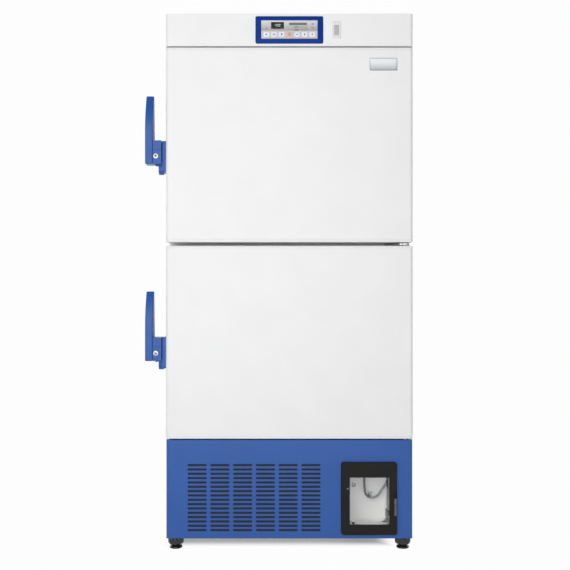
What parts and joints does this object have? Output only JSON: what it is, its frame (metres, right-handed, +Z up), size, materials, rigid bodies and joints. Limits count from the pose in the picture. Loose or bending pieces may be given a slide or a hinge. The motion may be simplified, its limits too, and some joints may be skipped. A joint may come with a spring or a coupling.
{
  "type": "laboratory freezer",
  "caption": "Upright white laboratory freezer with stacked doors hinged on the right, blue side levers, a control panel in the fascia, and a louvred blue base with a recorder bay.",
  "frame": {"origin": "on the floor, in the middle of the footprint of the whole freezer, its side levers included", "axes": "+Z up, +Y towards the back, so the doors face -Y, and +X towards the hinge side, which is on the right for someone who stands in front of the doors"},
  "size_m": [0.943, 0.859, 1.888],
  "materials": {
    "cabinet_white": "satin",
    "door_white": "gloss",
    "cap_white": "satin",
    "base_blue": "satin",
    "handle_blue": "satin",
    "bezel_blue": "satin",
    "overlay_silver": "satin",
    "display_dark": "gloss",
    "key_white": "satin",
    "key_pink": "satin",
    "port_grey": "satin",
    "plate_silver": "satin",
    "recorder_black": "matte",
    "tray_white": "matte",
    "window_clear": "gloss",
    "latch_grey": "matte",
    "lead_grey": "matte",
    "zinc_steel": "satin",
    "lock_chrome": "polished",
    "liner_white": "satin",
    "gasket_grey": "matte",
    "foam_cream": "matte",
    "foot_black": "matte",
    "wheel_grey": "matte",
    "fin_aluminium": "satin",
    "compressor_black": "satin",
    "copper": "satin",
    "box_grey": "matte"
  },
  "bodies": {
    "cabinet": {"outer_casing": "cabinet_white", "back_panel": "cabinet_white", "service_cover": "zinc_steel", "insulation": "foam_cream", "upper_liner": "liner_white", "lower_liner": "liner_white", "front_frame": "cabinet_white", "shelf_rails": "zinc_steel", "shelves": "zinc_steel", "fascia_cover": "door_white", "control_bezel": "bezel_blue", "control_overlay": "overlay_silver", "display_window": "display_dark", "port_plate": "port_grey", "base_panel": "base_blue", "recorder_housing": "recorder_black", "recorder_tray": "tray_white", "recorder_lead": "lead_grey", "hinge_brackets": "zinc_steel", "strike_plates": "zinc_steel", "chassis": "zinc_steel", "condenser": "fin_aluminium", "fan_shroud": "zinc_steel", "compressor": "compressor_black", "discharge_line": "copper", "electrical_box": "box_grey"},
    "upper_door": {"upper_door_skin": "door_white", "upper_door_caps": "cap_white", "upper_door_core": "foam_cream", "upper_door_liner": "liner_white", "upper_door_gasket": "gasket_grey", "upper_handle_base": "handle_blue", "upper_handle_pin": "zinc_steel", "nameplate": "plate_silver"},
    "lower_door": {"lower_door_skin": "door_white", "lower_door_caps": "cap_white", "lower_door_core": "foam_cream", "lower_door_liner": "liner_white", "lower_door_gasket": "gasket_grey", "lower_handle_base": "handle_blue", "lower_handle_pin": "zinc_steel"},
    "upper_lever": {"upper_handle_lever": "handle_blue"},
    "lower_lever": {"lower_handle_lever": "handle_blue"},
    "upper_lock": {"upper_lock_barrel": "lock_chrome"},
    "lower_lock": {"lower_lock_barrel": "lock_chrome"},
    "recorder_door": {"recorder_door_frame": "recorder_black", "recorder_window": "window_clear"},
    "recorder_catch": {"recorder_latch": "latch_grey"},
    "port_flap": {"port_cover": "port_grey"},
    "fan": {"fan_blades": "wheel_grey"},
    "left_foot": {"levelling_foot_left": "foot_black"},
    "right_foot": {"levelling_foot_right": "foot_black"},
    "rear_wheels": {"rear_axle": "wheel_grey"},
    "key_1": {"control_key_1": "key_white"},
    "key_2": {"control_key_2": "key_white"},
    "key_3": {"control_key_3": "key_white"},
    "key_4": {"control_key_4": "key_pink"},
    "key_5": {"control_key_5": "key_white"},
    "key_6": {"control_key_6": "key_white"},
    "key_7": {"control_key_7": "key_white"}
  },
  "joints": [
    {"name": "upper_door_hinge", "type": "hinge", "parent": "cabinet", "child": "upper_door", "pos_m": [0.4455, -0.3925, 1.4275], "axis": [0, 0, 1], "range_deg": [0, 115]},
    {"name": "upper_lever_pivot", "type": "hinge", "parent": "upper_door", "child": "upper_lever", "pos_m": [-0.4225, -0.3885, 1.369], "axis": [1, 0, 0], "range_deg": [0, 55]},
    {"name": "upper_lock_turn", "type": "hinge", "parent": "upper_lever", "child": "upper_lock", "pos_m": [-0.4335, -0.4155, 1.389], "axis": [0, 1, 0], "range_deg": [0, 90]},
    {"name": "lower_door_hinge", "type": "hinge", "parent": "cabinet", "child": "lower_door", "pos_m": [0.4455, -0.3925, 0.7335], "axis": [0, 0, 1], "range_deg": [0, 115]},
    {"name": "lower_lever_pivot", "type": "hinge", "parent": "lower_door", "child": "lower_lever", "pos_m": [-0.4225, -0.3885, 0.675], "axis": [1, 0, 0], "range_deg": [0, 55]},
    {"name": "lower_lock_turn", "type": "hinge", "parent": "lower_lever", "child": "lower_lock", "pos_m": [-0.4335, -0.4155, 0.695], "axis": [0, 1, 0], "range_deg": [0, 90]},
    {"name": "recorder_door_hinge", "type": "hinge", "parent": "cabinet", "child": "recorder_door", "pos_m": [0.2235, -0.4185, 0.1843], "axis": [0, 0, -1], "range_deg": [0, 110]},
    {"name": "recorder_catch_slide", "type": "slide", "parent": "recorder_door", "child": "recorder_catch", "axis": [0, 0, 1], "range_m": [0, 0.012]},
    {"name": "port_flap_hinge", "type": "hinge", "parent": "cabinet", "child": "port_flap", "pos_m": [0.2025, -0.4217, 1.8145], "axis": [1, 0, 0], "range_deg": [0, 90]},
    {"name": "fan_spin", "type": "hinge", "parent": "cabinet", "child": "fan", "pos_m": [-0.0835, -0.2855, 0.185], "axis": [0, 1, 0], "continuous": true},
    {"name": "left_foot_turn", "type": "hinge", "parent": "cabinet", "child": "left_foot", "pos_m": [-0.3675, -0.3725, 0.03], "axis": [0, 0, 1], "continuous": true},
    {"name": "right_foot_turn", "type": "hinge", "parent": "cabinet", "child": "right_foot", "pos_m": [0.4405, -0.3725, 0.03], "axis": [0, 0, 1], "continuous": true},
    {"name": "rear_wheels_roll", "type": "hinge", "parent": "cabinet", "child": "rear_wheels", "pos_m": [0.0365, 0.3495, 0.025], "axis": [1, 0, 0], "continuous": true},
    {"name": "key_1_press", "type": "slide", "parent": "cabinet", "child": "key_1", "axis": [0, 1, 0], "range_m": [0, 0.0008], "stiffness_N_per_m": 200},
    {"name": "key_2_press", "type": "slide", "parent": "cabinet", "child": "key_2", "axis": [0, 1, 0], "range_m": [0, 0.0008], "stiffness_N_per_m": 200},
    {"name": "key_3_press", "type": "slide", "parent": "cabinet", "child": "key_3", "axis": [0, 1, 0], "range_m": [0, 0.0008], "stiffness_N_per_m": 200},
    {"name": "key_4_press", "type": "slide", "parent": "cabinet", "child": "key_4", "axis": [0, 1, 0], "range_m": [0, 0.0008], "stiffness_N_per_m": 200},
    {"name": "key_5_press", "type": "slide", "parent": "cabinet", "child": "key_5", "axis": [0, 1, 0], "range_m": [0, 0.0008], "stiffness_N_per_m": 200},
    {"name": "key_6_press", "type": "slide", "parent": "cabinet", "child": "key_6", "axis": [0, 1, 0], "range_m": [0, 0.0008], "stiffness_N_per_m": 200},
    {"name": "key_7_press", "type": "slide", "parent": "cabinet", "child": "key_7", "axis": [0, 1, 0], "range_m": [0, 0.0008], "stiffness_N_per_m": 200}
  ]
}
